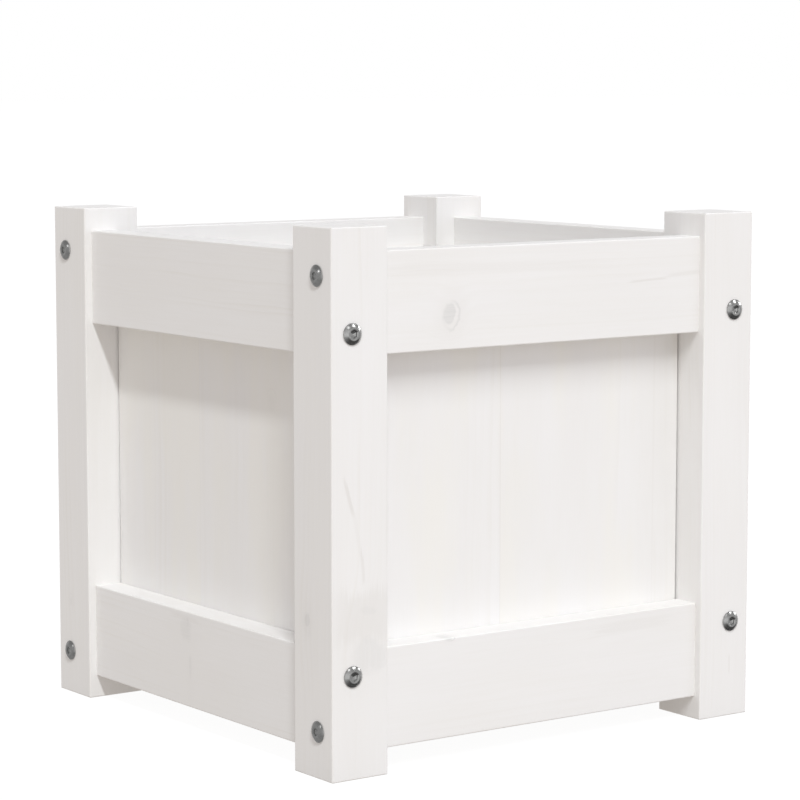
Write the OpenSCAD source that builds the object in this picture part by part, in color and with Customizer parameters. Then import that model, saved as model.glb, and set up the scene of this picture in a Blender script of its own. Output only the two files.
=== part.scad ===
// Square garden planter in painted softwood, made as a bolted kit: four corner
// posts, a top and a bottom rail on each side, upright boards behind the rails and
// a slatted base. One bolt at each end draws a rail against its posts, and a dowel
// keeps the rail from turning. The bolts of neighbouring sides pass each other
// inside the post at different heights.
// Origin: middle of the footprint, on the floor. +Z is up and -Y is the front.

/* [Overall size] */
// Width over the corner posts, left to right
planter_w = 310; // [270:5:420]
// Depth over the corner posts, front to back
planter_d = 310; // [270:5:420]
// Height of the corner posts
planter_h = 310; // [250:5:450]

/* [Corner posts] */
// Side of the square post
post_side = 38; // [34:1:48]
// Radius of the eased edges of all planed timber
ease = 0.8; // [0.4:0.2:2.4]

/* [Rails] */
// Height of a rail
rail_h = 58; // [54:1:75]
// Thickness of a rail
rail_t = 18; // [16:1:22]
// How far a rail's face lies behind the posts' faces
rail_setback = 5; // [3:1:8]
// How far the posts stand above the top rails
post_above_rail = 14; // [4:1:30]
// Space between the floor and the bottom rails
foot_clearance = 14; // [6:1:30]

/* [Boards] */
// Thickness of the upright boards
board_t = 12; // [10:1:15]
// Distance of the seam from the left-hand post, seen from outside
seam_from_post = 97; // [72:5:112]
// Gap between a board and a post
board_gap = 1; // [0.5:0.25:2]
// How far a board stops short of a rail's far edge
board_short = 20; // [12:1:26]
// Length of the tongue between the two boards
tongue_l = 4; // [3:0.5:6]
// Thickness of the tongue
tongue_t = 4; // [3:0.5:5]

/* [Base] */
// Width of a base batten, seen from above
batten_w = 18; // [14:1:24]
// Height of a base batten
batten_h = 18; // [14:1:24]
// Height of a batten above the lower end of the boards
batten_rise = 4; // [2:1:8]
// Thickness of a base slat
slat_t = 12; // [9:1:15]
// Drainage gap between two slats
slat_gap = 8; // [6:1:14]
// Clearance round the base slats
slat_clearance = 0.5; // [0.3:0.1:1]

/* [Bolts] */
// Diameter of the bolt's shank
bolt_d = 6; // [5:0.5:7]
// Diameter of the bolt's head
bolt_head_d = 12.4; // [11:0.2:14]
// Height of the bolt's head
bolt_head_h = 2; // [1.6:0.1:3.4]
// Width of the hexagon socket over its flats
bolt_socket = 4; // [3:0.5:4.5]
// Distance of a bolt, and of a dowel, from the rail's centre line
bolt_offset = 16; // [15:0.5:18]

/* [Inserts and dowels] */
// Outer diameter of the insert nut in a rail's end
insert_d = 9; // [8.5:0.25:10]
// Length of the insert nut
insert_l = 13; // [11:1:16]
// Diameter of a dowel
dowel_d = 6; // [5:0.5:7]
// Length of a dowel that stands in the post
dowel_in_post = 9; // [7:0.5:10]
// Length of a dowel that stands in the rail
dowel_in_rail = 15; // [12:1:18]

/* [Screws] */
// Diameter of a wood screw
screw_d = 3.5; // [3:0.25:4]
// Diameter of a screw's countersunk head
screw_head_d = 7; // [6:0.5:7.5]
// Wood left in front of a screw's tip
screw_cover = 5; // [4:0.5:7]
// Distance of a screw from the edge that it holds down
screw_edge = 12; // [10:1:14]

/* [Hidden] */

// Each side is drawn in a frame of its own, seen from outside: x to the right,
// y inwards from the posts' faces, z up. Its left-hand end is -1 and its right-hand
// end 1, and a post goes by the side that has it at the left-hand end.
SIDES = ["front", "right", "back", "left"];
LEVELS = ["top", "bottom"];

paint = [0.94, 0.93, 0.92];
dowel_wood = [0.80, 0.66, 0.47];
steel = [0.55, 0.55, 0.54];
zinc = [0.70, 0.69, 0.64];

round_fn = 48;           // segments of bores and fastenings
edge_fn = 32;            // segments of an eased edge's full circle
dome_fn = 96;            // segments of the circle that shapes a bolt's head
cut = 1;                 // how far a cutter runs past the face that it opens
bolt_clearance = 0.2;    // round a bolt in its post
fit_clearance = 0.05;    // round dowels, insert nuts and screws in their holes
insert_sink = 0.5;       // how far an insert nut lies below the rail's end
bolt_tip_room = 4;       // hole beyond the insert nut
dowel_room = 1;          // glue space at each end of a dowel
rod_chamfer = 1;         // on the ends of bolts and dowels
screw_point_r = 0.3;     // radius at the very tip of a screw
bolt_rim_h = 0.6;        // upright rim of a bolt's head
bolt_crown_d = 7.2;      // flat crown of a bolt's head
bolt_socket_floor = 0.4; // steel left under the socket
tongue_play = 0.3;       // between the tongue's tip and its groove
slat_count = 4;

// Heights
top_rail_z = planter_h - post_above_rail - rail_h;
board_z = foot_clearance + board_short;
board_top_z = top_rail_z + rail_h - board_short;
batten_z = board_z + batten_rise;
slat_z = batten_z + batten_h;

// Depths behind the posts' faces
rail_mid_y = rail_setback + rail_t / 2;
board_y = rail_setback + rail_t;
wall = board_y + board_t;
base_margin = max(post_side, wall) + slat_clearance;

// Sizes of the fastenings and the slats
insert_end = insert_sink + insert_l;
bolt_l = post_side + insert_end;
screw_inset = max(insert_end + bolt_tip_room, dowel_in_rail + dowel_room) + screw_d;
board_screw_l = board_t + rail_t - screw_cover;
batten_screw_l = batten_w + board_screw_l;
slat_screw_l = slat_t + batten_h - screw_cover;
slat_w = (planter_d - 2 * base_margin - (slat_count - 1) * slat_gap) / slat_count;
batten_mid_x = planter_w / 2 - wall - batten_w / 2;

function place_of(side) = search([side], SIDES)[0];
function side_before(side) = SIDES[(place_of(side) + len(SIDES) - 1) % len(SIDES)];
function faces_y(side) = side == "front" || side == "back";
function span(side) = (faces_y(side) ? planter_w : planter_d) - 2 * post_side;
function rail_z(level) = level == "top" ? top_rail_z : foot_clearance;

// Height of a side's bolts or dowels: front and back rails have their bolts towards
// the ends of the posts and the others towards the middle, with the dowels opposite.
function bolt_rise(side, level) = faces_y(side) == (level == "top") ? bolt_offset : -bolt_offset;
function bolt_z(side, level) = rail_z(level) + rail_h / 2 + bolt_rise(side, level);
function dowel_z(side, level) = rail_z(level) + rail_h / 2 - bolt_rise(side, level);

function board_screw_z(level) = level == "top" ? top_rail_z + screw_edge
                                               : foot_clearance + rail_h - screw_edge;
function seam_x(side) = seam_from_post - span(side) / 2;
function board_screw_xs(side) = [
  screw_inset - span(side) / 2,
  seam_x(side) - tongue_l - screw_edge,
  seam_x(side) + screw_edge,
  span(side) / 2 - screw_inset
];
function slat_y(i) = base_margin - planter_d / 2 + i * (slat_w + slat_gap);

// ---------- frames ----------

module on_side(side) {
  out = (faces_y(side) ? planter_d : planter_w) / 2;
  rotate([0, 0, 90 * place_of(side)]) translate([0, -out, 0]) children();
}

// At one end of a side's rails, with +z running into the rail from its end face
module into_rail(side, end, z) {
  translate([end * span(side) / 2, rail_mid_y, z]) rotate([0, -90 * end, 0]) children();
}

// On the inner face of a side's boards, with +z running outwards
module at_board_screws(side, level) {
  for (x = board_screw_xs(side))
    translate([x, wall, board_screw_z(level)]) rotate([90, 0, 0]) children();
}

// On the inner faces of the battens, between the slats, with +z running outwards
module at_batten_screws(hand) {
  for (i = [1 : slat_count - 1])
    translate([hand * (batten_mid_x - batten_w / 2), slat_y(i) - slat_gap / 2, batten_z + batten_h / 2])
      rotate([0, 90 * hand, 0]) children();
}

// On top of one slat, over both battens, with +z running down
module at_slat_screws(i) {
  for (x = [-batten_mid_x, batten_mid_x], y = [screw_edge, slat_w - screw_edge])
    translate([x, slat_y(i) + y, slat_z + slat_t]) rotate([180, 0, 0]) children();
}

// ---------- profiles ----------

// Rectangle from the origin with round corners
module eased_rect(width, height) {
  translate([ease, 0]) square([width - 2 * ease, height]);
  translate([0, ease]) square([width, height - 2 * ease]);
  for (x = [ease, width - ease], y = [ease, height - ease])
    translate([x, y]) circle(r = ease, $fn = edge_fn);
}

// Timber that lies along x: its section is drawn in y and z
module along_x(length) {
  rotate([90, 0, 90]) linear_extrude(length) children();
}

// ---------- fastenings, drawn along +z ----------

// Rod with a chamfered far end
module rod(d, length) {
  cylinder(d = d, h = length - rod_chamfer, $fn = round_fn);
  translate([0, 0, length - rod_chamfer])
    cylinder(d1 = d, d2 = d - 2 * rod_chamfer, h = rod_chamfer, $fn = round_fn);
}

// Half of the head's section: an upright rim, a domed flank and a flat crown
module bolt_head_section() {
  rim_r = bolt_head_d / 2;
  crown_r = bolt_crown_d / 2;
  dome_y = (rim_r ^ 2 + bolt_rim_h ^ 2 - crown_r ^ 2 - bolt_head_h ^ 2) / (2 * (bolt_rim_h - bolt_head_h));
  intersection() {
    translate([0, dome_y]) circle(r = norm([rim_r, bolt_rim_h - dome_y]), $fn = dome_fn);
    square([rim_r, bolt_head_h]);
  }
}

// Furniture bolt whose head stands behind z = 0
module bolt() {
  difference() {
    union() {
      mirror([0, 0, 1]) rotate_extrude($fn = round_fn) bolt_head_section();
      rod(bolt_d, bolt_l);
    }
    translate([0, 0, -bolt_head_h - cut])
      cylinder(d = bolt_socket / cos(30), h = bolt_head_h - bolt_socket_floor + cut, $fn = 6);
  }
}

module insert_nut() {
  difference() {
    cylinder(d = insert_d, h = insert_l, $fn = round_fn);
    translate([0, 0, -cut])
      cylinder(r = bolt_d / 2 + fit_clearance, h = insert_l + 2 * cut, $fn = round_fn);
  }
}

module dowel() {
  rod(dowel_d, dowel_in_rail);
  mirror([0, 0, 1]) rod(dowel_d, dowel_in_post);
}

// Countersunk screw with its head flush at z = 0. Grown, it is the hole for one.
module screw(length, grow = 0) {
  shank_r = screw_d / 2 + grow;
  head_r = screw_head_d / 2 + grow;
  cylinder(r1 = head_r, r2 = shank_r, h = head_r - shank_r, $fn = round_fn);
  cylinder(r = shank_r, h = length - screw_d, $fn = round_fn);
  translate([0, 0, length - screw_d])
    cylinder(r1 = shank_r, r2 = screw_point_r + grow, h = screw_d, $fn = round_fn);
}

module screw_hole(length) {
  screw(length, fit_clearance);
  translate([0, 0, -cut]) cylinder(r = screw_head_d / 2 + fit_clearance, h = cut, $fn = round_fn);
}

// ---------- holes at the joint of a post and a rail ----------

module post_holes(side, end) {
  for (level = LEVELS) {
    into_rail(side, end, bolt_z(side, level)) translate([0, 0, -post_side - cut])
      cylinder(r = bolt_d / 2 + bolt_clearance, h = post_side + 2 * cut, $fn = round_fn);
    into_rail(side, end, dowel_z(side, level)) translate([0, 0, -dowel_in_post - dowel_room])
      cylinder(r = dowel_d / 2 + fit_clearance, h = dowel_in_post + dowel_room + cut, $fn = round_fn);
  }
}

module rail_end_holes(side, end, level) {
  into_rail(side, end, bolt_z(side, level)) translate([0, 0, -cut]) {
    cylinder(r = insert_d / 2 + fit_clearance, h = insert_end + cut, $fn = round_fn);
    cylinder(r = bolt_d / 2 + bolt_clearance, h = insert_end + bolt_tip_room + cut, $fn = round_fn);
  }
  into_rail(side, end, dowel_z(side, level)) translate([0, 0, -cut])
    cylinder(r = dowel_d / 2 + fit_clearance, h = dowel_in_rail + dowel_room + cut, $fn = round_fn);
}

// ---------- wooden pieces ----------

// The post at the left-hand end of a side
module post(side) {
  color(paint) difference() {
    on_side(side) translate([-span(side) / 2 - post_side, 0, 0]) intersection() {
      linear_extrude(planter_h) eased_rect(post_side, post_side);
      translate([0, post_side, 0]) rotate([90, 0, 0])
        linear_extrude(post_side) eased_rect(post_side, planter_h);
      along_x(post_side) eased_rect(post_side, planter_h);
    }
    on_side(side) post_holes(side, -1);
    on_side(side_before(side)) post_holes(side_before(side), 1);
  }
}

// Holes for the screws that hold the boards, and the battens where a side has one
module panel_screw_holes(side, level) {
  on_side(side) at_board_screws(side, level) screw_hole(board_screw_l);
  if (level == "bottom" && !faces_y(side))
    at_batten_screws(side == "right" ? 1 : -1) screw_hole(batten_screw_l);
}

module rail(side, level) {
  color(paint) difference() {
    on_side(side) translate([-span(side) / 2, rail_setback, rail_z(level)])
      along_x(span(side)) eased_rect(rail_t, rail_h);
    for (end = [-1, 1]) on_side(side) rail_end_holes(side, end, level);
    panel_screw_holes(side, level);
  }
}

// Upright board, drawn in plan by its children and cut for its screws
module board(side) {
  color(paint) difference() {
    on_side(side) translate([0, board_y, board_z])
      linear_extrude(board_top_z - board_z) children();
    for (level = LEVELS) panel_screw_holes(side, level);
  }
}

// The left-hand board has the groove
module grooved_board(side) {
  from_x = board_gap - span(side) / 2;
  groove_t = tongue_t + 2 * fit_clearance;
  groove_l = tongue_l + tongue_play;
  board(side) difference() {
    translate([from_x, 0]) square([seam_x(side) - from_x, board_t]);
    translate([seam_x(side) - groove_l, (board_t - groove_t) / 2])
      square([groove_l + cut, groove_t]);
  }
}

// The right-hand board has the tongue
module tongued_board(side) {
  from_x = seam_x(side);
  board(side) union() {
    translate([from_x, 0]) square([span(side) / 2 - board_gap - from_x, board_t]);
    translate([from_x - tongue_l, (board_t - tongue_t) / 2]) square([tongue_l + cut, tongue_t]);
  }
}

// Batten under the slats, on the boards of the left (-1) or right (1) side
module batten(hand) {
  color(paint) difference() {
    translate([hand * batten_mid_x - batten_w / 2, planter_d / 2 - base_margin, batten_z])
      rotate([90, 0, 0]) linear_extrude(planter_d - 2 * base_margin) eased_rect(batten_w, batten_h);
    at_batten_screws(hand) screw_hole(batten_screw_l);
    for (i = [0 : slat_count - 1]) at_slat_screws(i) screw_hole(slat_screw_l);
  }
}

module slat(i) {
  reach = planter_w / 2 - wall - slat_clearance;
  color(paint) difference() {
    translate([-reach, slat_y(i), slat_z]) along_x(2 * reach) eased_rect(slat_w, slat_t);
    at_slat_screws(i) screw_hole(slat_screw_l);
  }
}

// ---------- sets of fastenings ----------

module rail_bolts(side) {
  color(steel) on_side(side)
    for (end = [-1, 1], level = LEVELS)
      into_rail(side, end, bolt_z(side, level)) translate([0, 0, -post_side]) bolt();
}

module rail_inserts(side) {
  color(zinc) on_side(side)
    for (end = [-1, 1], level = LEVELS)
      into_rail(side, end, bolt_z(side, level)) translate([0, 0, insert_sink]) insert_nut();
}

module rail_dowels(side) {
  color(dowel_wood) on_side(side)
    for (end = [-1, 1], level = LEVELS)
      into_rail(side, end, dowel_z(side, level)) dowel();
}

module board_screws(side) {
  color(zinc) on_side(side)
    for (level = LEVELS) at_board_screws(side, level) screw(board_screw_l);
}

module batten_screws() {
  color(zinc) for (hand = [-1, 1]) at_batten_screws(hand) screw(batten_screw_l);
}

module slat_screws() {
  color(zinc) for (i = [0 : slat_count - 1]) at_slat_screws(i) screw(slat_screw_l);
}

post("front");  // post_front_left
post("right");  // post_front_right
post("back");  // post_back_right
post("left");  // post_back_left
rail("front", "top");  // top_rail_front
rail("right", "top");  // top_rail_right
rail("back", "top");  // top_rail_back
rail("left", "top");  // top_rail_left
rail("front", "bottom");  // bottom_rail_front
rail("right", "bottom");  // bottom_rail_right
rail("back", "bottom");  // bottom_rail_back
rail("left", "bottom");  // bottom_rail_left
grooved_board("front");  // board_front_1
grooved_board("right");  // board_right_1
grooved_board("back");  // board_back_1
grooved_board("left");  // board_left_1
tongued_board("front");  // board_front_2
tongued_board("right");  // board_right_2
tongued_board("back");  // board_back_2
tongued_board("left");  // board_left_2
rail_bolts("front");  // rail_bolts_front
rail_bolts("right");  // rail_bolts_right
rail_bolts("back");  // rail_bolts_back
rail_bolts("left");  // rail_bolts_left
rail_inserts("front");  // rail_inserts_front
rail_inserts("right");  // rail_inserts_right
rail_inserts("back");  // rail_inserts_back
rail_inserts("left");  // rail_inserts_left
rail_dowels("front");  // rail_dowels_front
rail_dowels("right");  // rail_dowels_right
rail_dowels("back");  // rail_dowels_back
rail_dowels("left");  // rail_dowels_left
board_screws("front");  // board_screws_front
board_screws("right");  // board_screws_right
board_screws("back");  // board_screws_back
board_screws("left");  // board_screws_left
batten(-1);  // base_batten_left
batten(1);  // base_batten_right
batten_screws();
slat(0);  // base_slat_1
slat(1);  // base_slat_2
slat(2);  // base_slat_3
slat(3);  // base_slat_4
slat_screws();
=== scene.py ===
import math
from collections import namedtuple
import bpy
import bmesh
from mathutils import Matrix, Vector


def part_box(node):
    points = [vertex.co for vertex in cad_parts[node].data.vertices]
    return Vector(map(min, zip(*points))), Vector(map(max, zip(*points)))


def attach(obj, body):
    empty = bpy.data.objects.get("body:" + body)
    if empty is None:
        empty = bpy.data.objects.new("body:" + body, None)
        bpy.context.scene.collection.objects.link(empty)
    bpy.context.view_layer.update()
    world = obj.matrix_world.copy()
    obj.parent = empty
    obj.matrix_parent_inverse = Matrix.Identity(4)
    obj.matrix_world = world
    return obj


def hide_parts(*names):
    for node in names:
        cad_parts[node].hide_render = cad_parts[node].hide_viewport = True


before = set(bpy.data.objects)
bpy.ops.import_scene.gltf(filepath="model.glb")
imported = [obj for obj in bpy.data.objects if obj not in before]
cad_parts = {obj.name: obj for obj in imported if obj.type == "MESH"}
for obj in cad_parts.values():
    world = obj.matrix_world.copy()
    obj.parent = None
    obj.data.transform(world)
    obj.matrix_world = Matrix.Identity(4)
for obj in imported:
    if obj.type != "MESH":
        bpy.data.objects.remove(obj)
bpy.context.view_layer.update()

scene = bpy.context.scene


# ---- Camera ----------------------------------------------------------------
# A long lens a little above the rim looks across the front left-hand post. Its
# place was fitted to the planter's corners and bolts.
EYE = (-1.041, -1.454, 0.396)
HEADING = 35.67  # degrees from +Y towards +X
TILT = -6.55  # degrees above the horizon
SENSOR_WIDTH = 36  # mm
FOCAL_LENGTH = 129.7  # mm

lens = bpy.data.cameras.new("camera")
lens.sensor_width = SENSOR_WIDTH
lens.lens = FOCAL_LENGTH
camera = bpy.data.objects.new("camera", lens)
camera.location = EYE
camera.rotation_euler = (math.radians(90 + TILT), 0, math.radians(-HEADING))
scene.collection.objects.link(camera)
scene.camera = camera


# ---- Corner posts ----------------------------------------------------------
# Four lengths of planed pine, 38 mm square, with eased edges and bolt holes.
# They are sprayed white, and grain, knots and resin streaks show faintly through.
MM = 0.001
X, Y, Z = range(3)


class Value:
    """A socket that can be used in arithmetic."""

    def __init__(self, wiring, socket):
        self.wiring = wiring
        self.socket = socket

    def maths(self, operation, *others):
        return self.wiring.maths(operation, self, *others)

    def __add__(self, other):
        return self.maths("ADD", other)

    def __sub__(self, other):
        return self.maths("SUBTRACT", other)

    def __rsub__(self, other):
        return self.wiring.maths("SUBTRACT", other, self)

    def __mul__(self, other):
        return self.maths("MULTIPLY", other)

    def __truediv__(self, other):
        return self.maths("DIVIDE", other)

    def __rtruediv__(self, other):
        return self.wiring.maths("DIVIDE", other, self)

    def __neg__(self):
        return self.maths("MULTIPLY", -1)

    def __abs__(self):
        return self.maths("ABSOLUTE")

    __radd__ = __add__
    __rmul__ = __mul__


class Wiring:
    """Adds nodes to a tree of a material or of the surround."""

    def __init__(self, tree):
        self.nodes = tree.nodes
        self.links = tree.links

    def put(self, value, socket):
        if isinstance(value, Value):
            self.links.new(value.socket, socket)
        else:
            socket.default_value = value

    def node(self, kind, settings, inputs=(), output=0):
        """Adds a node: its settings first, then its inputs by name or in their order."""
        made = self.nodes.new(kind)
        for key, setting in settings.items():
            setattr(made, key, setting)
        if not isinstance(inputs, dict):
            inputs = dict(enumerate(inputs))
        for key, value in inputs.items():
            self.put(value, made.inputs[key])
        return Value(self, made.outputs[output])

    def maths(self, operation, *values):
        return self.node("ShaderNodeMath", {"operation": operation}, values)

    def smooth(self, value, low, high):
        """0 below low and 1 above high, with an even passage between them."""
        inputs = {"Value": value, "From Min": low, "From Max": high}
        return self.node("ShaderNodeMapRange", {"interpolation_type": "SMOOTHSTEP"}, inputs)

    def blend(self, amount, first, second):
        # A Mix node has sockets for each kind of value. These are the ones for colour.
        inputs = {0: amount, 6: first, 7: second}
        return self.node("ShaderNodeMix", {"data_type": "RGBA"}, inputs, output=2)

    def split(self, place):
        """The three parts of a place."""
        parts = self.node("ShaderNodeSeparateXYZ", {}, [place]).socket.node.outputs
        return [Value(self, part) for part in parts]


class Finish(Wiring):
    """A material, with places measured in mm."""

    def __init__(self, name):
        self.material = bpy.data.materials.new(name)
        self.material.use_nodes = True
        super().__init__(self.material.node_tree)
        self.surface = self.nodes["Principled BSDF"]

    def set(self, **values):
        for key, value in values.items():
            self.put(value, self.surface.inputs[key.replace("_", " ")])

    def place(self, centre=(0, 0, 0)):
        """Millimetres from centre, which is in mm too."""
        at = self.node("ShaderNodeTexCoord", {}, output="Object")
        inputs = {"Vector": at, "Location": tuple(-c for c in centre), "Scale": (1 / MM,) * 3}
        return self.node("ShaderNodeMapping", {"vector_type": "POINT"}, inputs)

    def stretched(self, place, size, shift=0.0):
        """Place, over the size of a pattern's patches along each axis in mm."""
        inputs = {"Vector": place, "Location": (shift, 1.7 * shift, 2.3 * shift),
                  "Scale": tuple(1 / part for part in size)}
        return self.node("ShaderNodeMapping", {"vector_type": "POINT"}, inputs)

    def noise(self, place, detail=2.0, roughness=0.5):
        inputs = {"Vector": place, "Scale": 1.0, "Detail": detail, "Roughness": roughness}
        return self.node("ShaderNodeTexNoise", {}, inputs)

    def band(self, value, low, high, edge):
        """1 between low and high, falling to 0 over edge beyond them."""
        return self.smooth(value, low - edge, low) * (1 - self.smooth(value, high, high + edge))

    def bump(self, height):
        """Height in mm."""
        return self.node("ShaderNodeBump", {}, {"Strength": 1.0, "Distance": MM, "Height": height})


PAINT = (0.876, 0.868, 0.863, 1)
YELLOWED = (0.866, 0.848, 0.800, 1)
OVER_LATEWOOD = (0.808, 0.788, 0.756, 1)
OVER_KNOT = (0.625, 0.622, 0.612, 1)
OVER_RESIN = (0.735, 0.712, 0.682, 1)
WORN = (0.815, 0.793, 0.763, 1)

# Marks in the wood, in mm and in the planter's frame. Face is the axis that the marked face
# looks along, half_size runs along and across the grain, and lean is in degrees. Strength and
# bark, the dark line round a knot, go from 0 to 1.
Knot = namedtuple("Knot", "face middle half_size strength lean bark", defaults=(0, 0.0))
Streak = namedtuple("Streak", "face start end bow half_width strength")
Seam = namedtuple("Seam", "across place strength")


def highest(first, second):
    """The higher of two values, or the second while there is no first."""
    return second if first is None else first.maths("MAXIMUM", second)


class PaintedPine(Finish):
    """White paint on one piece of planed pine. Grain is the axis that the grain runs along."""

    def __init__(self, name, box, grain, seed):
        super().__init__(name)
        low, high = (Vector(corner) / MM for corner in box)
        self.centre = (low + high) / 2
        self.half = (high - low) / 2
        self.grain = grain
        self.seed = seed
        self.at = self.place(self.centre)
        self.parts = self.split(self.at)

    def patchy(self, across, along, shift=0, detail=2.0):
        """Noise from 0 to 1 in patches of this size across and along the grain."""
        size = [across] * 3
        size[self.grain] = along
        return self.noise(self.stretched(self.at, size, self.seed + shift), detail)

    def beside(self, face):
        """The axis that lies in a face, across the grain."""
        return next(axis for axis in (X, Y, Z) if axis not in (face, self.grain))

    def knots(self, marks):
        """Masks of the knots' cores, bark lines and halos, and how far they swing the rings."""
        core = bark = halo = swing = None
        wobble = self.patchy(5, 5) - 0.5 if marks else None
        for knot in marks:
            side = self.beside(knot.face)
            middle = Vector(knot.middle) - self.centre
            half_long, half_wide = knot.half_size
            along = self.parts[self.grain] - middle[self.grain]
            across = self.parts[side] - middle[side]
            turn = math.radians(knot.lean)
            long = (along * math.cos(turn) + across * math.sin(turn)) / half_long
            wide = (across * math.cos(turn) - along * math.sin(turn)) / half_wide
            reach = (long * long + wide * wide).maths("SQRT") + wobble * 0.5
            # A knot goes a few millimetres into the wood
            near = 1 - self.smooth(abs(self.parts[knot.face] - middle[knot.face]), 6, 14)
            shown = near * knot.strength
            # The core is uneven, and sits a little off the middle of its bark
            off_long, off_wide = long + 0.2, wide - 0.1
            inner = (off_long * off_long * 1.8 + off_wide * off_wide * 1.7).maths("SQRT")
            inner = inner + wobble * 0.8
            core = highest(core, shown * (1 - self.smooth(inner, 0.3 + 0.45 * knot.strength, 1.1)))
            # The bark line shows more at one end
            lit = 0.25 + self.smooth(long, -0.4, 0.7) * 0.75
            bark = highest(bark, near * knot.bark * lit * self.band(reach, 0.9, 0.98, 0.12))
            halo = highest(halo, shown * (1 - self.smooth(reach, 0.8, 2.6)))
            pushed = half_wide * (0.25 + 0.75 * knot.bark)
            swing = highest(swing, near * (1 - self.smooth(reach, 0.5, 3.2)) * pushed)
        return core, bark, halo, swing

    def latewood(self, pith, ring, swing):
        """Annual rings, which rise slowly to hard latewood and fall back at once.

        Pith is the log's middle, seen along the grain from the middle of the piece.
        """
        a, b = (axis for axis in (X, Y, Z) if axis != self.grain)
        bend = (self.patchy(45, 260, detail=3.0) - 0.5) * 16
        from_a, from_b = self.parts[a] - pith[0], self.parts[b] - pith[1]
        radius = (from_a * from_a + from_b * from_b).maths("SQRT") + bend
        if swing is not None:
            radius = radius + swing
        # Good and bad years: rings differ in width, and each has a weight of its own
        drift = self.node("ShaderNodeTexNoise", {"noise_dimensions": "1D"},
                          {"W": radius / (3.5 * ring) + self.seed, "Scale": 1.0, "Detail": 1.0})
        turns = radius / ring + drift * 2.6
        weight = self.node("ShaderNodeTexWhiteNoise", {"noise_dimensions": "1D"},
                           {"W": turns.maths("FLOOR") + self.seed})
        part = turns.maths("FRACT")
        late = self.smooth(part, 0.25, 0.88) * (1 - self.smooth(part, 0.88, 1.0))
        # The paint hides them in some places more than in others
        bared = self.smooth(self.patchy(38, 120, 7), 0.36, 0.66)
        return late * (weight * weight * 0.55 + 0.14) * (bared * 0.8 + 0.2)

    def streak(self, mark, fibre, cloud):
        """A mask of a resin streak that bows sideways and frays at its ends."""
        side = self.beside(mark.face)
        start, end = Vector(mark.start) - self.centre, Vector(mark.end) - self.centre
        way = (self.parts[self.grain] - start[self.grain]) / (end[self.grain] - start[self.grain])
        line = start[side] + way * (end[side] - start[side]) + way * (1 - way) * (4 * mark.bow)
        near = self.band(way + fibre * 0.6 + cloud * 0.5, 0.25, 0.75, 0.25)
        # It goes less deep than a knot
        near = near * (1 - self.smooth(abs(self.parts[mark.face] - start[mark.face]), 2, 5))
        width = mark.half_width * (0.85 + cloud * 0.9)
        aside = abs(self.parts[side] - line) / width
        return near * (1 - self.smooth(aside, 0.3, 1.0)) * mark.strength

    def coat(self, pith, ring, knots=(), streaks=(), seam=None, yellow=0.1):
        """Sets the paint over the wood. Yellow is how far resin has tinted it in patches."""
        core, bark, halo, swing = self.knots(knots)
        late = self.latewood(pith, ring, swing)
        fibre = self.patchy(0.8, 26, detail=3.0) - 0.5
        cloud = self.patchy(30, 110, 5) - 0.5
        speckle = self.patchy(1.3, 1.3) - 0.5
        tint = self.smooth(self.patchy(26, 130, 9), 0.38, 0.66)

        thin = late * 0.45 + fibre * 0.3 + cloud * 0.55 + 0.28
        colour = self.blend(thin, PAINT, OVER_LATEWOOD)
        colour = self.blend(tint * yellow, colour, YELLOWED)
        height = fibre * 0.018 + speckle * 0.008 - late * 0.024
        for mark in streaks:
            mask = self.streak(mark, fibre, cloud)
            colour = self.blend(mask, colour, OVER_RESIN)
            height = height - mask * 0.03
        if knots:
            colour = self.blend(halo * 0.16, colour, OVER_RESIN)
            colour = self.blend(core * (0.42 + fibre * 0.5), colour, OVER_KNOT)
            colour = self.blend(bark * 0.45, colour, OVER_KNOT)
            height = height - bark * 0.09 + core * 0.03
        if seam is not None:
            aside = abs(self.parts[seam.across] - (seam.place - self.centre[seam.across]))
            line = (1 - self.smooth(aside, 0.1, 0.6)) * seam.strength
            colour = self.blend(line * (cloud * 2 + 1), colour, OVER_RESIN)
            height = height - line * 0.12

        # The paint lies thinner on the eased edges
        rims = [self.smooth(abs(part), half - 1.6, half - 0.2)
                for part, half in zip(self.parts, self.half)]
        edge = rims[0] * rims[1] + rims[1] * rims[2] + rims[0] * rims[2]
        edge = edge * self.smooth(fibre + cloud, -0.12, 0.25)
        colour = self.blend(edge * 0.5, colour, WORN)
        # End grain drinks more of it and shows less relief
        half_long = self.half[self.grain]
        on_end = self.smooth(abs(self.parts[self.grain]), half_long - 1.2, half_long - 0.6)
        height = height * (1 - on_end * 0.6)
        self.set(Base_Color=colour, Roughness=0.64 + late * 0.1 + fibre * 0.12 + edge * 0.08,
                 Normal=self.bump(height))


def dress(node, material):
    """Gives a CAD node's object this material alone."""
    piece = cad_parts[node]
    piece.data.materials.clear()
    piece.data.materials.append(material)


def dress_in_pine(node, grain, pith, ring, seed, **marks):
    """Paints a CAD node. Its annual rings are ring apart, in mm."""
    pine = PaintedPine(node + "_paint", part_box(node), grain, seed)
    pine.coat(pith, ring, **marks)
    dress(node, pine.material)


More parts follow.
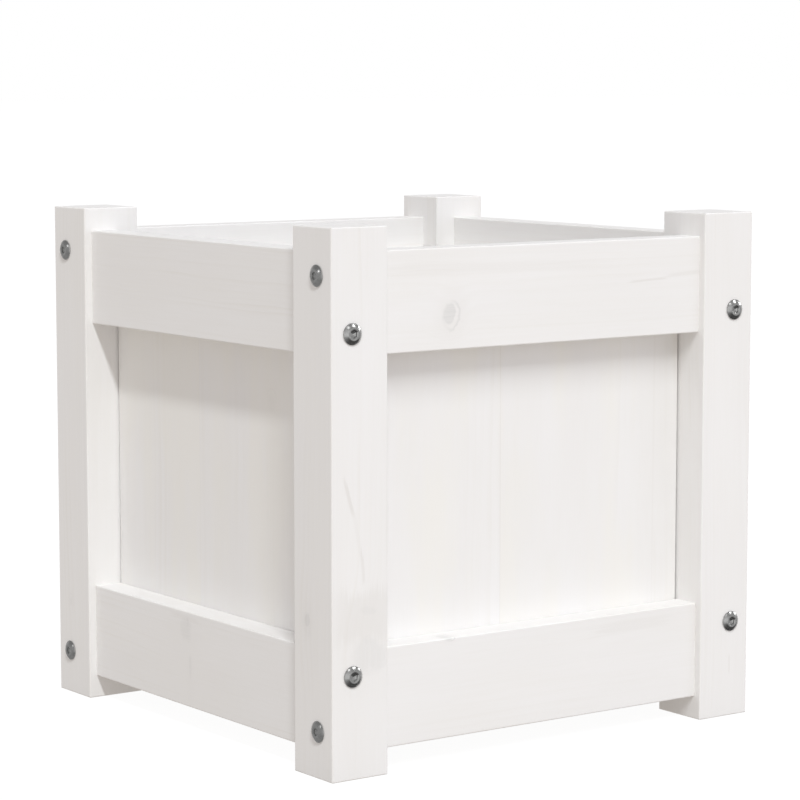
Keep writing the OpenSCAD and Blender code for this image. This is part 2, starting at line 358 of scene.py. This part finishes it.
POST_PITHS = {
    "front_left": (-46, 30),
    "front_right": (55, 38),
    "back_right": (30, -60),
    "back_left": (-40, 52),
}
POST_RING = 3.4
POST_KNOTS = {
    "front_left": [
        Knot(Y, (-130.5, -155, 73.5), (15, 19), 0.46, lean=22),
        Knot(Y, (-131.5, -155, 96.5), (4, 8), 0.3, lean=10),
        Knot(X, (-155, -130.9, 90.5), (6, 3.6), 0.8, lean=4),
        Knot(X, (-155, -130.9, 88), (14, 8), 0.2),
    ],
    "front_right": [Knot(X, (155, -137, 196), (7, 4), 0.8, lean=-8, bark=0.7)],
    "back_right": [
        Knot(Y, (133, 155, 118), (8, 4.5), 0.8, lean=6, bark=0.8),
        Knot(X, (155, 139, 232), (5, 3), 0.7, bark=0.5),
    ],
    "back_left": [
        Knot(X, (-155, 140, 60), (4, 2.5), 0.3, bark=0.2),
        Knot(Y, (-135, 155, 205), (8, 5), 0.8, lean=-10, bark=0.7),
    ],
}
POST_STREAKS = {
    "front_left": [
        Streak(Y, (-146.5, -155, 172), (-139.4, -155, 147), -0.3, 2.0, 0.56),
        Streak(Y, (-139.8, -155, 153), (-134.4, -155, 122), -0.4, 2.2, 0.16),
        Streak(Y, (-135.2, -155, 133), (-133.2, -155, 110), 0.0, 1.9, 0.38),
        Streak(Y, (-131, -155, 112), (-135, -155, 72), 0.0, 32, 0.36),
    ],
    "front_right": [Streak(Y, (140.6, -155, 41), (140.8, -155, 25), 0.0, 0.9, 0.4)],
    "back_right": [Streak(X, (155, 131, 60), (155, 135, 150), 1.5, 0.9, 0.4)],
}
for number, (corner, pith) in enumerate(POST_PITHS.items()):
    dress_in_pine("post_" + corner, Z, pith, POST_RING, seed=3.1 + 4.7 * number,
                  knots=POST_KNOTS[corner], streaks=POST_STREAKS.get(corner, ()))


# ---- Rails -----------------------------------------------------------------
# Eight planed boards, 58 x 18 mm, butted between the posts and bolted through
# them. The same pine and paint, with the grain along the rail.
SIDES = ("front", "right", "back", "left")
RAIL_RING = 4.4
RAIL_KNOTS = {
    "top_rail_front": [Knot(Y, (-69.4, -150, 257.4), (6.2, 8.6), 1.0, lean=-12, bark=0.75)],
    "bottom_rail_left": [
        Knot(X, (-150, 10.5, 60), (10, 11), 0.4),
        Knot(X, (-150, 6.6, 65), (2.2, 4), 0.6, lean=-15),
        Knot(X, (-150, 4.0, 38), (2.4, 10), 0.35),
    ],
    "bottom_rail_front": [Knot(Y, (-70, -150, 72), (4, 2), 0.9, bark=0.9)],
    "top_rail_right": [Knot(X, (150, 62, 262), (8, 5), 0.8, lean=-10, bark=0.8)],
    "top_rail_back": [Knot(Y, (35, 150, 275), (7, 4), 0.7, lean=8, bark=0.7)],
    "bottom_rail_back": [Knot(Y, (-60, 150, 40), (9, 6), 0.8, lean=5, bark=0.8)],
    "bottom_rail_right": [Knot(X, (150, -40, 52), (6, 4), 0.7, bark=0.5)],
}
RAIL_STREAKS = {
    "top_rail_front": [
        Streak(Y, (61, -150, 270.6), (93, -150, 271.8), 0.2, 1.1, 0.5),
        Streak(Y, (84, -150, 272.8), (124, -150, 274.8), 0.2, 2.0, 0.3),
        Streak(Y, (-128, -150, 284), (60, -150, 281), 1.0, 6.0, 0.16),
    ],
    "bottom_rail_left": [Streak(X, (-150, 30, 68), (-150, -12, 67), 0.5, 2.6, 0.2)],
    "bottom_rail_front": [Streak(Y, (30, -150, 62), (110, -150, 64), 1.0, 5.0, 0.2)],
    "bottom_rail_right": [Streak(X, (150, -20, 44), (150, 60, 47), 1.0, 1.2, 0.3)],
}
for number, side in enumerate(SIDES):
    grain = X if side in ("front", "back") else Y
    pith = (-34 + 9 * number, -70 - 8 * number)
    for level, first_seed in (("top", 11.0), ("bottom", 31.0)):
        node = f"{level}_rail_{side}"
        dress_in_pine(node, grain, pith, RAIL_RING, seed=first_seed + 3.3 * number,
                      knots=RAIL_KNOTS.get(node, ()), streaks=RAIL_STREAKS.get(node, ()))


# ---- Boards ----------------------------------------------------------------
# Two tongued-and-grooved boards close each side behind the rails, screwed from
# inside. Their grain is upright, and the joint shows as a hairline.
BOARD_RING = 5.2
BOARD_KNOTS = {
    "board_right_1": [Knot(X, (132, -70, 150), (9, 6), 0.8, lean=5, bark=0.8)],
    "board_back_2": [Knot(Y, (-40, 132, 180), (8, 5), 0.8, lean=-5, bark=0.7)],
    "board_left_2": [Knot(X, (-120, -60, 205), (7, 5), 0.9, lean=5, bark=0.9)],
}
BOARD_STREAKS = {
    "board_front_2": [Streak(Y, (96.4, -132, 0), (97.5, -132, 310), 0.4, 1.0, 0.14)],
}
SEAMS = {
    "front": Seam(X, -20, 0.3),
    "right": Seam(Y, -20, 0.3),
    "back": Seam(X, 20, 0.3),
    "left": Seam(Y, 20, 0.12),
}
for number, side in enumerate(SIDES):
    for half in (1, 2):
        node = f"board_{side}_{half}"
        pith = (-25 + 13 * number, 85 - 21 * half)
        dress_in_pine(node, Z, pith, BOARD_RING, seed=50 + 7.9 * number + half,
                      knots=BOARD_KNOTS.get(node, ()), streaks=BOARD_STREAKS.get(node, ()),
                      seam=SEAMS[side], yellow=0.6)


# ---- Base ------------------------------------------------------------------
# Four slats with drainage gaps lie across two battens, which are screwed to the
# boards of the left and right sides.
SLAT_RING, BATTEN_RING = 3.8, 3.2
SLAT_KNOTS = {
    "base_slat_2": [Knot(Z, (48, -22, 68), (9, 5), 0.9, lean=8, bark=0.9)],
    "base_slat_3": [Knot(Z, (-70, 36, 68), (7, 4), 0.9, lean=-6, bark=0.8)],
}
for number in range(1, 5):
    node = f"base_slat_{number}"
    dress_in_pine(node, X, (40 - 22 * number, -60), SLAT_RING, seed=80 + 5.3 * number,
                  knots=SLAT_KNOTS.get(node, ()))
for number, hand in enumerate(("left", "right")):
    dress_in_pine("base_batten_" + hand, Y, (30, -45), BATTEN_RING, seed=110 + 6.1 * number)


# ---- Bolts -----------------------------------------------------------------
# Sixteen zinc-plated furniture bolts with a low domed head and a hexagon socket
# go through the posts into insert nuts in the rails' ends.
def circle(radius):
    return lambda angle: radius


def hexagon(width):
    """Flats width apart, with a corner straight up."""
    sixth = math.pi / 3
    return lambda angle: width / 2 / math.cos((angle + sixth / 2) % sixth - sixth / 2)


def thread(root, crest, pitch, height):
    """A ring of a single-start thread at this height."""
    def reach(angle):
        turn = (height / pitch - angle / math.tau) % 1
        return root + (crest - root) * (1 - abs(2 * turn - 1))
    return reach


def loft(skin, rings, segments):
    """Adds a closed solid over rings of (reach at an angle, height) to skin, in mm."""
    angles = [math.tau * step / segments for step in range(segments)]
    loops = []
    for reach, height in rings:
        points = [(reach(angle) * math.cos(angle), reach(angle) * math.sin(angle), height)
                  for angle in angles]
        loops.append([skin.verts.new([part * MM for part in point]) for point in points])
    for lower, upper in zip(loops, loops[1:]):
        for step in range(segments):
            following = (step + 1) % segments
            skin.faces.new((lower[step], lower[following], upper[following], upper[step]))
    skin.faces.new(loops[0][::-1])
    skin.faces.new(loops[-1])


SHARP_EDGE = 38  # degrees


def finished_mesh(name, skin):
    bmesh.ops.recalc_face_normals(skin, faces=skin.faces)
    mesh = bpy.data.meshes.new(name)
    skin.to_mesh(mesh)
    skin.free()
    mesh.shade_smooth()
    mesh.set_sharp_from_angle(angle=math.radians(SHARP_EDGE))
    return mesh


BOLT_HEAD_H = 2.0


def bolt_mesh():
    """Stands on the post's face at the origin, with its shank along +z."""
    head_r, rim_h, crown_r, ease, steps = 6.2, 0.6, 3.6, 0.1, 10
    socket, socket_low, chamfer = 4.0, 1.0, 0.85
    # The dome is part of a ball that runs from the crown's edge down to the rim
    dome_z = head_r ** 2 + rim_h ** 2 - crown_r ** 2 - BOLT_HEAD_H ** 2
    dome_z /= 2 * (rim_h - BOLT_HEAD_H)
    dome_r = math.hypot(head_r, rim_h - dome_z)
    head = [(circle(0.3), -0.4), (hexagon(socket * 0.95), -socket_low),
            (hexagon(socket), -BOLT_HEAD_H + 0.25), (hexagon(socket + chamfer), -BOLT_HEAD_H),
            (circle(crown_r - 0.25), -BOLT_HEAD_H)]
    for step in range(steps + 1):
        r = crown_r + (head_r - ease - crown_r) * step / steps
        head.append((circle(r), -dome_z - math.sqrt(dome_r ** 2 - r ** 2)))
    head += [(circle(head_r), -rim_h + 0.12), (circle(head_r), -ease), (circle(head_r - ease), 0)]

    shank_r, length, thread_l, pitch, depth = 3.0, 51.5, 24.0, 1.0, 0.5
    root_r = shank_r - depth
    shank = [(circle(shank_r), -0.3), (circle(shank_r), length - thread_l - 0.5)]
    for step in range(int(4 * (thread_l - 1) / pitch) + 1):
        height = length - thread_l + step * pitch / 4
        shank.append((thread(root_r, shank_r, pitch, height), height))
    shank += [(circle(root_r), length - 0.9), (circle(shank_r - 1), length)]

    skin = bmesh.new()
    loft(skin, head, 48)
    loft(skin, shank, 24)
    return finished_mesh("bolt", skin)


def fastening_tree():
    """Sets one fastening on every place, each turned a little about its own axis."""
    tree = bpy.data.node_groups.new("fastenings", "GeometryNodeTree")
    for name, kind in (("Places", "Geometry"), ("Fastening", "Object"), ("Most Turn", "Float"),
                       ("Seed", "Int"), ("Metal", "Material")):
        tree.interface.new_socket(name, in_out="INPUT", socket_type="NodeSocket" + kind)
    tree.interface.new_socket("Set", in_out="OUTPUT", socket_type="NodeSocketGeometry")
    new, link = tree.nodes.new, tree.links.new
    given = new("NodeGroupInput")
    pick = new("GeometryNodeObjectInfo")
    aim = new("GeometryNodeInputNamedAttribute")
    aim.data_type = "FLOAT_VECTOR"
    aim.inputs["Name"].default_value = "aim"
    place = new("GeometryNodeInstanceOnPoints")
    chance = new("FunctionNodeRandomValue")
    about = new("ShaderNodeCombineXYZ")
    spin = new("GeometryNodeRotateInstances")
    real = new("GeometryNodeRealizeInstances")
    metal = new("GeometryNodeSetMaterial")
    result = new("NodeGroupOutput")
    link(given.outputs["Fastening"], pick.inputs["Object"])
    link(given.outputs["Places"], place.inputs["Points"])
    link(pick.outputs["Geometry"], place.inputs["Instance"])
    link(aim.outputs["Attribute"], place.inputs["Rotation"])
    link(given.outputs["Most Turn"], chance.inputs[3])  # Max, for a plain number
    link(given.outputs["Seed"], chance.inputs["Seed"])
    link(chance.outputs[1], about.inputs["Z"])
    link(place.outputs["Instances"], spin.inputs["Instances"])
    link(about.outputs[0], spin.inputs["Rotation"])
    link(spin.outputs["Instances"], real.inputs[0])
    link(real.outputs[0], metal.inputs["Geometry"])
    link(given.outputs["Metal"], metal.inputs["Material"])
    link(metal.outputs[0], result.inputs[0])
    return tree


def solid_boxes(node):
    """The lowest and highest corner of each solid of a node."""
    skin = bmesh.new()
    skin.from_mesh(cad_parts[node].data)
    bmesh.ops.remove_doubles(skin, verts=skin.verts, dist=0.001 * MM)
    waiting = set(skin.verts)
    boxes = []
    while waiting:
        solid, to_visit = [], [waiting.pop()]
        while to_visit:
            point = to_visit.pop()
            solid.append(point.co.copy())
            for line in point.link_edges:
                other = line.other_vert(point)
                if other in waiting:
                    waiting.remove(other)
                    to_visit.append(other)
        boxes.append([Vector(pick(point[axis] for point in solid) for axis in (X, Y, Z))
                      for pick in (min, max)])
    skin.free()
    return sorted(boxes, key=lambda box: tuple(round(part, 5) for part in box[0]))


def fastening_places(nodes, head, head_h=0.0):
    """Where each solid's head sits, and which way it points.

    Head says whether it is at the outer, inner or upper end, and head_h its height in mm.
    """
    places = []
    for node in nodes:
        for low, high in solid_boxes(node):
            axis = max((X, Y, Z), key=lambda part: high[part] - low[part])
            middle = (low + high) / 2
            sign = 1 if head == "upper" or (middle[axis] > 0) == (head == "outer") else -1
            middle[axis] = (high if sign > 0 else low)[axis] - sign * head_h * MM
            direction = Vector((0, 0, 0))
            direction[axis] = -sign
            places.append((middle, direction))
    return places


FASTENINGS = fastening_tree()


def set_fastenings(name, mesh, places, metal, nodes, most_turn, seed):
    """Puts mesh, which points along +z, at each place, and lets it stand for nodes."""
    master = bpy.data.objects.new(name + "_master", mesh)
    marks = bpy.data.meshes.new(name + "_places")
    marks.from_pydata([point for point, direction in places], [], [])
    aims = marks.attributes.new("aim", "FLOAT_VECTOR", "POINT")
    for mark, (point, direction) in zip(aims.data, places):
        mark.vector = direction.to_track_quat("Z", "Y").to_euler()
    holder = bpy.data.objects.new(name + "_places", marks)
    scene.collection.objects.link(holder)
    maker = holder.modifiers.new("fastenings", "NODES")
    maker.node_group = FASTENINGS
    inputs = {"Fastening": master, "Most Turn": most_turn, "Seed": seed, "Metal": metal}
    for socket in FASTENINGS.interface.items_tree:
        if socket.name in inputs:
            maker[socket.identifier] = inputs[socket.name]
    bpy.context.view_layer.update()
    evaluated = holder.evaluated_get(bpy.context.evaluated_depsgraph_get())
    made = bpy.data.meshes.new_from_object(evaluated)
    bpy.data.objects.remove(holder)
    bpy.data.objects.remove(master)
    piece = bpy.data.objects.new(name, made)
    scene.collection.objects.link(piece)
    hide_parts(*nodes)
    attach(piece, "root")


def plated_steel(name, colour, roughness):
    """Plating with slow changes in tone, fine specks and faint rub marks."""
    finish = Finish(name)
    place = finish.place()
    tone = finish.noise(finish.stretched(place, (4, 4, 4)), detail=3.0)
    speck = finish.noise(finish.stretched(place, (0.5, 0.5, 0.5)), detail=3.0, roughness=0.6)
    dulled = finish.smooth(tone * 0.5 + speck * 0.5, 0.4, 0.66)
    dull = tuple(0.8 * part for part in colour[:3]) + (1,)
    finish.set(Base_Color=finish.blend(dulled, colour, dull), Metallic=1.0,
               Roughness=roughness + (tone - 0.5) * 0.1 + (speck - 0.5) * 0.1,
               Normal=finish.bump(speck * 0.006))
    return finish.material


bolt_nodes = ["rail_bolts_" + side for side in SIDES]
set_fastenings("rail_bolts", bolt_mesh(), fastening_places(bolt_nodes, "outer", BOLT_HEAD_H),
               plated_steel("bolt_steel", (0.56, 0.56, 0.555, 1), roughness=0.22),
               bolt_nodes, most_turn=0.12, seed=4)


# ---- Insert nuts -----------------------------------------------------------
# A zinc nut in each end of each rail, pressed into the end grain, takes a bolt.
# They are out of sight.
insert_zinc = plated_steel("insert_zinc", (0.60, 0.57, 0.50, 1), roughness=0.38)
for side in SIDES:
    dress("rail_inserts_" + side, insert_zinc)


# ---- Dowels ----------------------------------------------------------------
# A bare beech dowel beside each bolt stops the rail from turning. Its long
# chamfered end is in the rail, and all are out of sight.
BEECH = (0.62, 0.42, 0.24, 1)
BEECH_FLECK = (0.47, 0.29, 0.15, 1)


def bare_beech():
    finish = Finish("dowel_beech")
    place = finish.place()
    fleck = finish.noise(finish.stretched(place, (0.5, 0.5, 0.5)), detail=3.0)
    tone = finish.noise(finish.stretched(place, (7, 7, 7)))
    darker = finish.smooth(fleck * 0.6 + tone * 0.4, 0.38, 0.66)
    finish.set(Base_Color=finish.blend(darker, BEECH, BEECH_FLECK),
               Roughness=0.62 + (fleck - 0.5) * 0.15, Normal=finish.bump(fleck * 0.02))
    return finish.material


dowel_wood = bare_beech()
for side in SIDES:
    dress("rail_dowels_" + side, dowel_wood)


# ---- Screws ----------------------------------------------------------------
# Countersunk zinc-plated wood screws with a cross recess, driven flush: through
# the boards into the rails, through the battens, and through the slats.
def cross(arm, width):
    """A cross of four arms that reach arm from the middle."""
    def reach(angle):
        off = angle % (math.pi / 2)
        off = min(off, math.pi / 2 - off)
        return min(arm / math.cos(off), width / 2 / max(math.sin(off), 1e-6))
    return reach


def screw_mesh(length):
    """Its head's face lies at the origin, with its shank along +z."""
    head_r, shank_r, core_r, pitch, point, thread_z = 3.5, 1.75, 1.15, 1.7, 3.5, 6.2
    recess = [(circle(0.25), 1.9), (cross(1.25, 0.9), 1.5), (cross(1.85, 1.15), 0.12),
              (cross(2.0, 1.3), 0.0)]
    head = [(circle(head_r - 0.12), 0.0), (circle(head_r), 0.12), (circle(head_r - 0.1), 0.35)]
    neck = [(circle(shank_r + 0.15), 1.6), (circle(shank_r - 0.2), 2.1),
            (circle(shank_r - 0.2), thread_z - 0.2)]
    rings = recess + head + neck
    for step in range(int(4 * (length - point - thread_z) / pitch) + 1):
        height = thread_z + step * pitch / 4
        rings.append((thread(core_r, shank_r, pitch, height), height))
    rings += [(circle(core_r * 0.9), length - point), (circle(0.15), length)]
    skin = bmesh.new()
    loft(skin, rings, 24)
    return finished_mesh(f"screw_{length}", skin)


screw_zinc = plated_steel("screw_zinc", (0.62, 0.60, 0.54, 1), roughness=0.3)
board_screw_nodes = ["board_screws_" + side for side in SIDES]
for name, length, nodes, head, seed in (
        ("board_screws", 25, board_screw_nodes, "inner", 11),
        ("batten_screws", 43, ["batten_screws"], "inner", 12),
        ("slat_screws", 25, ["slat_screws"], "upper", 13)):
    set_fastenings(name + "_driven", screw_mesh(length), fastening_places(nodes, head),
                   screw_zinc, nodes, most_turn=math.pi / 2, seed=seed)


# ---- Floor and light -------------------------------------------------------
# A plain white floor, a long softbox high on the left, a weak fill from the right and an
# even surround. The floor glows evenly on the wood, less so from under the planter: painted
# shade for the planter's shadow on it. Gloss looks through it, at small lights of its own.
WHITE = (1, 1, 1, 1)
SURROUND = (0.632, 0.613, 0.617, 1)
GROUND = (0.650, 0.609, 0.572, 1)
GROUND_UNDER_PAINTED_SHADE = (0.507, 0.475, 0.446, 1)
FLOOR_REACH = 30.0  # m


def rays(wiring):
    """Whether a ray comes from the camera, and whether from gloss."""
    outputs = wiring.node("ShaderNodeLightPath", {}).socket.node.outputs
    return [Value(wiring, outputs[name]) for name in ("Is Camera Ray", "Is Glossy Ray")]


def towards(azimuth, elevation):
    """A direction, from degrees from -Y towards +X and degrees above the floor."""
    turn, rise = math.radians(azimuth), math.radians(elevation)
    return Vector((math.sin(turn) * math.cos(rise), -math.cos(turn) * math.cos(rise),
                   math.sin(rise)))


floor_mesh = bpy.data.meshes.new("floor")
floor_mesh.from_pydata([(FLOOR_REACH * x, FLOOR_REACH * y, 0)
                        for x, y in ((-1, -1), (1, -1), (1, 1), (-1, 1))], [], [(0, 1, 2, 3)])
floor = bpy.data.objects.new("floor", floor_mesh)
scene.collection.objects.link(floor)
ground = Finish("floor")
floor_mesh.materials.append(ground.material)
camera_ray, glossy_ray = rays(ground)
# The camera sees it almost white of itself, with a faint shadow on it
ground.set(Base_Color=(0.11, 0.11, 0.11, 1), Roughness=1.0, Specular_IOR_Level=0.0,
           Emission_Color=WHITE, Emission_Strength=0.93)
seen = Value(ground, ground.surface.outputs[0])
x, y = ground.split(ground.place())[:2]
# Painted shade: the floor's glow dims under the planter, standing in for its shadow there
beyond = ground.smooth(highest(abs(x), abs(y)), 110, 200)
colour = ground.blend(beyond, GROUND_UNDER_PAINTED_SHADE, GROUND)
glow = ground.node("ShaderNodeEmission", {}, {"Color": colour})
clear = ground.node("ShaderNodeBsdfTransparent", {})
lit = ground.node("ShaderNodeMixShader", {}, [camera_ray, glow, seen])
whole = ground.node("ShaderNodeMixShader", {}, [glossy_ray, lit, clear])
ground.put(whole, ground.nodes["Material Output"].inputs["Surface"])

# The softbox hangs up to the left and swings forwards. It is turned so that its length
# spreads the shadows on the front and not those on the left.
SOFTBOX_AWAY = 20  # m
SOFTBOX_SWING = math.radians(37.5)
sideways, ahead = Vector((-0.405, 0, 1)).normalized(), Vector((0, -1, 0))
away = sideways * math.cos(SOFTBOX_SWING) + ahead * math.sin(SOFTBOX_SWING)
along = ahead * math.cos(SOFTBOX_SWING) - sideways * math.sin(SOFTBOX_SWING)
softbox = bpy.data.lights.new("key", "AREA")
softbox.shape = "RECTANGLE"
softbox.size, softbox.size_y = 9.0, 1.2  # m
softbox.energy = 2306  # W
softbox.color = (0.943, 0.979, 1.0)
key = bpy.data.objects.new("key", softbox)
key.matrix_world = Matrix((along, away.cross(along), away)).transposed().to_4x4()
key.location = SOFTBOX_AWAY * away
key.visible_glossy = False
scene.collection.objects.link(key)

FILL_DIRECTION = Vector((-0.7, 0.7, -0.14))
sun = bpy.data.lights.new("fill", "SUN")
sun.energy = 0.43
sun.color = (0.80, 0.85, 1.0)
sun.angle = math.radians(40)
fill = bpy.data.objects.new("fill", sun)
fill.rotation_euler = FILL_DIRECTION.to_track_quat("-Z", "Y").to_euler()
fill.visible_glossy = False
scene.collection.objects.link(fill)

# Discs that make the highlights on the bolts: azimuth, elevation and power in W
GLOSS_DISCS = {
    "gloss_left": (-5, 37.5, 10),
    "gloss_middle": (44, 38.5, 34),
    "gloss_right": (83, 15.5, 29),
    "gloss_far_left": (-99.5, 22.5, 6),
}
GLOSS_AWAY = 6  # m from the middle of the planter
GLOSS_AIM = Vector((0, 0, 0.155))
for name, (azimuth, elevation, power) in GLOSS_DISCS.items():
    disc = bpy.data.lights.new(name, "AREA")
    disc.shape = "DISK"
    disc.size = 1.1  # m
    disc.energy = power
    spot = bpy.data.objects.new(name, disc)
    away = towards(azimuth, elevation)
    spot.location = GLOSS_AWAY * away + GLOSS_AIM
    spot.rotation_euler = away.to_track_quat("Z", "Y").to_euler()
    spot.visible_diffuse = False
    spot.visible_camera = False
    scene.collection.objects.link(spot)

# The camera sees a white surround, wood gets an even light from it, and gloss sees a studio:
# grey, pale in front, darker low down and overhead, and a little darker behind on the left
surround = bpy.data.worlds.new("surround")
scene.world = surround
surround.use_nodes = True
air = Wiring(surround.node_tree)
camera_ray, glossy_ray = rays(air)
x, y, z = air.split(air.node("ShaderNodeTexCoord", {}, output="Generated"))
in_front = air.smooth(-y, -0.4, 0.3) * 0.5 + 0.35
to_right = air.smooth(x, -0.7, 0.1) * 0.6 + 0.4
low_down = air.smooth(-z, 0.2, 0.42) * in_front * to_right
overhead = air.smooth(z, 0.15, 0.45) * 0.3
tone = 0.5 + air.smooth(-0.95 * y - 0.3 * x, 0.6, 1.0) * 0.3
tone = tone - air.smooth(-x, 0.0, 0.5) * air.smooth(y, -0.6, 0.1) * 0.12
tone = tone * (1 - low_down) * (1 - overhead)
studio = air.node("ShaderNodeCombineColor", {}, [tone, tone, tone])
unseen = air.blend(glossy_ray, SURROUND, studio)
air.put(air.blend(camera_ray, unseen, WHITE), air.nodes["Background"].inputs["Color"])
scene.view_settings.view_transform = "Standard"
